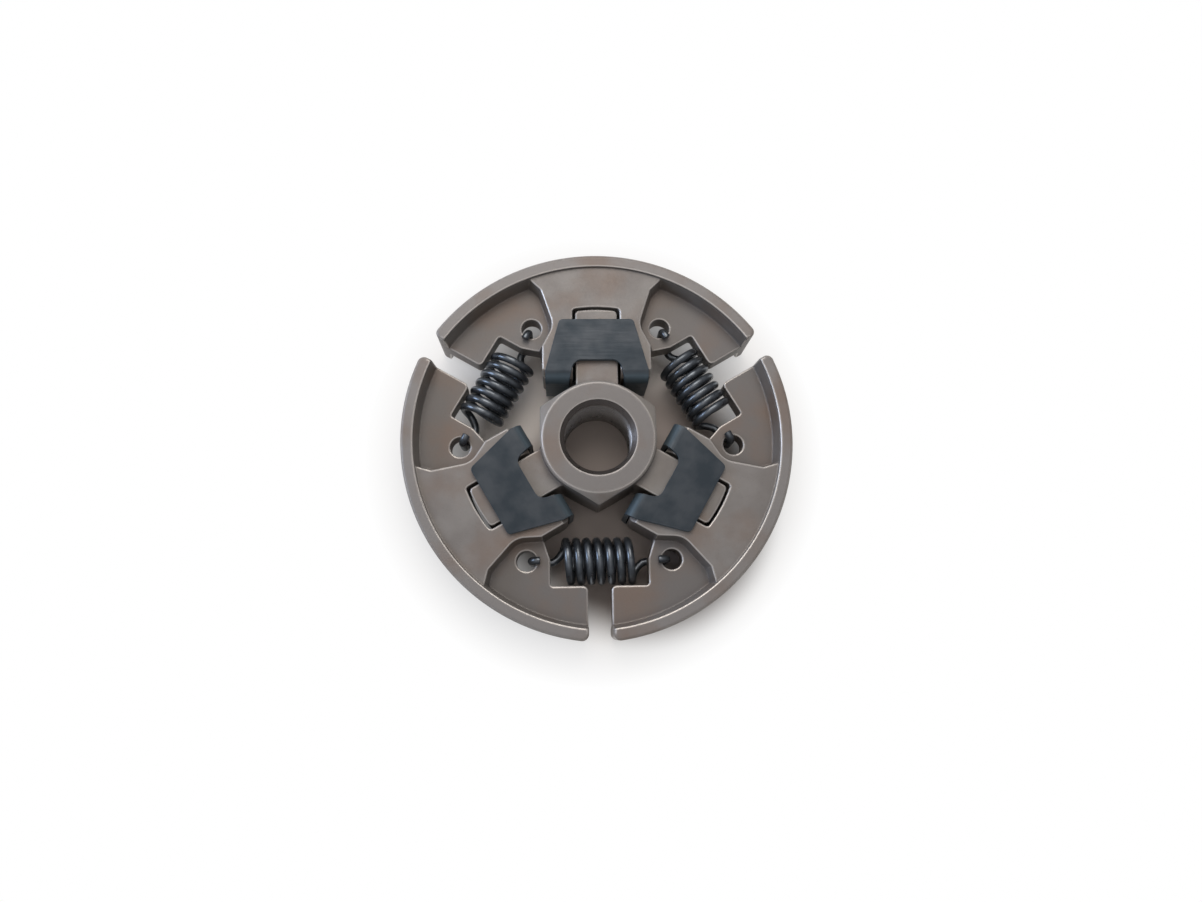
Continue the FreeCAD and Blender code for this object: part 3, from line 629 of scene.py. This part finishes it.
def wire_shape(path, radius):
    """Round wire along a path, with a slightly rounded end."""
    shape = bmesh.new()
    rings = []
    across = Vector((0, 1, 0))
    tip = path[-1] + (path[-1] - path[-2]).normalized() * radius * WIRE_END_LENGTH
    stations = [(point, radius) for point in path] + [(tip, radius * WIRE_END_WIDTH)]
    for index, (point, wide) in enumerate(stations):
        before = stations[max(index - 1, 0)][0]
        after = stations[min(index + 1, len(stations) - 1)][0]
        along = (after - before).normalized()
        across = (across - along * across.dot(along)).normalized()
        beside = along.cross(across)
        turns = [2 * math.pi * side / WIRE_SIDES for side in range(WIRE_SIDES)]
        rings.append([shape.verts.new(point + (across * math.cos(turn) + beside * math.sin(turn)) * wide)
                      for turn in turns])
    for ring, following in zip(rings, rings[1:]):
        for side in range(WIRE_SIDES):
            shape.faces.new((ring[side - 1], ring[side], following[side], following[side - 1]))
    shape.faces.new(reversed(rings[0]))
    shape.faces.new(rings[-1])
    return shape


class CLUTCH_OT_finish_carrier(bpy.types.Operator):
    """Finish the carrier and cut the crankshaft thread into its bore"""

    bl_idname = "clutch.finish_carrier"
    bl_label = "Finish carrier"

    def execute(self, context):
        thread = context.scene.clutch_thread
        finish = context.scene.clutch_finish
        shape = bmesh.new()
        shape.from_mesh(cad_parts["carrier"].data)
        bmesh.ops.remove_doubles(shape, verts=shape.verts, dist=WELD)

        # The thread takes the place of the bore's plain wall, between the two turned mouths.
        wall = [face for face in shape.faces
                if all(abs(vertex.co.xy.length - thread.bore / 2) < NEAR for vertex in face.verts)]
        if not wall:
            raise RuntimeError("the carrier has no bore of the thread's size")
        heights = [vertex.co.z for face in wall for vertex in face.verts]
        bmesh.ops.delete(shape, geom=wall, context="FACES")
        for face in shape.faces:
            in_mouth = all(vertex.co.xy.length < thread.mouth / 2 + NEAR for vertex in face.verts)
            face.material_index = int(in_mouth)
        steel = sintered_steel("sintered_steel_steam_treated_carrier", finish, finish.sintered_hub)
        mouths = turned_steel("sintered_steel_turned_mouths", thread, finish.mouth, finish.mouth)
        carrier = add_piece("carrier_body", shape, steel, mouths)
        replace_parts(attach(carrier, "carrier"), "carrier")

        cut = turned_steel("sintered_steel_cut_thread", thread, finish.turned, finish.thread_root)
        bore = add_piece("crank_thread", thread_wall(thread, min(heights), max(heights)), cut)
        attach(bore, "carrier")
        return {"FINISHED"}


class CLUTCH_OT_finish_shoes(bpy.types.Operator):
    """Finish the friction shoes in sintered steel"""

    bl_idname = "clutch.finish_shoes"
    bl_label = "Finish shoes"

    def execute(self, context):
        finish = context.scene.clutch_finish
        material = sintered_steel("sintered_steel_steam_treated_shoes", finish, finish.sintered_rim)
        for number in range(1, SHOE_COUNT + 1):
            dress(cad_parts[f"shoe_{number}"], material)
        return {"FINISHED"}


class CLUTCH_OT_finish_retainers(bpy.types.Operator):
    """Finish the folded retainers in blued sheet"""

    bl_idname = "clutch.finish_retainers"
    bl_label = "Finish retainers"

    def execute(self, context):
        finish = context.scene.clutch_finish
        for number in range(1, SHOE_COUNT + 1):
            bearing = 2 * math.pi * (number - 1) / SHOE_COUNT
            material = blued_sheet(f"spring_steel_sheet_blued_{number}", finish, bearing)
            dress(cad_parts[f"retainer_{number}"], material)
        return {"FINISHED"}


class CLUTCH_OT_wind_springs(bpy.types.Operator):
    """Wind the tension springs from round wire, each in two halves that reach to their shoes"""

    bl_idname = "clutch.wind_springs"
    bl_label = "Wind springs"

    def execute(self, context):
        spring = context.scene.clutch_spring
        material = spring_wire("spring_wire_oil_tempered", context.scene.clutch_finish)
        path = half_spring_path(spring)
        for number in range(1, SHOE_COUNT + 1):
            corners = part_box(f"spring_{number}")
            middle = (corners[0] + corners[1]) / 2
            middle.z = SHOE_MIDDLE
            bearing = math.atan2(middle.y, middle.x) + math.pi / 2
            # One half reaches to the next shoe, and the other, turned round, to the spring's own.
            for half, shoe in ((0, number % SHOE_COUNT + 1), (1, number)):
                place = Matrix.Translation(middle) @ Matrix.Rotation(bearing + half * math.pi, 4, "Z")
                shape = wire_shape(path, spring.wire / 2)
                bmesh.ops.transform(shape, matrix=place, verts=shape.verts)
                piece = add_piece(f"spring_{number}_to_shoe_{shoe}", shape, material)
                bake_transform(piece)
                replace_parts(piece, f"spring_{number}")
        return {"FINISHED"}


class CLUTCH_OT_set_stage(bpy.types.Operator):
    """Lay the clutch on white paper under soft light and set the camera"""

    bl_idname = "clutch.set_stage"
    bl_label = "Set stage"

    def execute(self, context):
        stage = context.scene.clutch_stage
        shape = bmesh.new()
        bmesh.ops.create_grid(shape, x_segments=1, y_segments=1, size=PAPER_HALF)
        paper = add_piece("studio_paper", shape, studio_paper("studio_paper_matt", stage))
        paper.location.z = CAD_BOX[0].z - PAPER_GAP

        # Each light's name, place and width in metres, power and colour.
        lights = (
            ("key_light", (-0.01, 0.12, 0.19), 0.16, stage.key, "#fff8f1"),
            ("window_light", (-0.44, 0.10, 0.22), 0.24, stage.window, "#cbdefc"),
            ("ceiling_light", (0.00, 0.02, 0.35), 0.55, stage.ceiling, "#fff8f1"),
        )
        for name, place, width, power, code in lights:
            lamp = bpy.data.lights.new(name, "AREA")
            lamp.shape = "DISK"
            lamp.size = width
            lamp.energy = power
            lamp.color = linear(code)[:3]
            light = add_object(name, lamp)
            light.location = place
            light.rotation_euler = (-Vector(place)).to_track_quat("-Z", "Y").to_euler()
        context.scene.world = studio_sky("studio_sky", stage)
        context.scene.view_settings.view_transform = "Standard"

        lens = bpy.data.cameras.new("camera")
        lens.sensor_fit = "HORIZONTAL"
        lens.sensor_width = 36.0
        lens.lens = stage.focal_length
        lens.clip_start = 5 * MM
        camera = add_object("camera", lens)
        turns = [Matrix.Rotation(angle, 4, axis) for angle, axis in zip(stage.camera_turn, "XYZ")]
        camera.matrix_world = Matrix.Translation(stage.camera_place) @ turns[0] @ turns[1] @ turns[2]
        context.scene.camera = camera
        return {"FINISHED"}


class CLUTCH_PT_sidebar(bpy.types.Panel):
    """Buttons and settings of the clutch"""

    bl_idname = "CLUTCH_PT_sidebar"
    bl_label = "Chainsaw clutch"
    bl_space_type = "VIEW_3D"
    bl_region_type = "UI"
    bl_category = "Clutch"

    def draw(self, context):
        layout = self.layout
        for operator in OPERATORS:
            layout.operator(operator.bl_idname)
        for name in SETTINGS:
            group = getattr(context.scene, name)
            box = layout.box()
            for key in group.__annotations__:
                box.prop(group, key)


SETTINGS = {
    "clutch_finish": ClutchFinishSettings,
    "clutch_spring": ClutchSpringSettings,
    "clutch_thread": ClutchThreadSettings,
    "clutch_stage": ClutchStageSettings,
}
OPERATORS = (
    CLUTCH_OT_finish_carrier,
    CLUTCH_OT_finish_shoes,
    CLUTCH_OT_finish_retainers,
    CLUTCH_OT_wind_springs,
    CLUTCH_OT_set_stage,
)
CLASSES = (*SETTINGS.values(), *OPERATORS, CLUTCH_PT_sidebar)


def register():
    """Add the classes and the scene's settings."""
    for item in CLASSES:
        bpy.utils.register_class(item)
    for name, group in SETTINGS.items():
        setattr(bpy.types.Scene, name, bpy.props.PointerProperty(type=group))


def unregister():
    """Take the settings and classes away again."""
    for name in SETTINGS:
        delattr(bpy.types.Scene, name)
    for item in reversed(CLASSES):
        bpy.utils.unregister_class(item)


def main():
    """Make every piece."""
    register()
    bpy.ops.clutch.finish_carrier()
    bpy.ops.clutch.finish_shoes()
    bpy.ops.clutch.finish_retainers()
    bpy.ops.clutch.wind_springs()
    bpy.ops.clutch.set_stage()


if __name__ == "__main__":
    main()
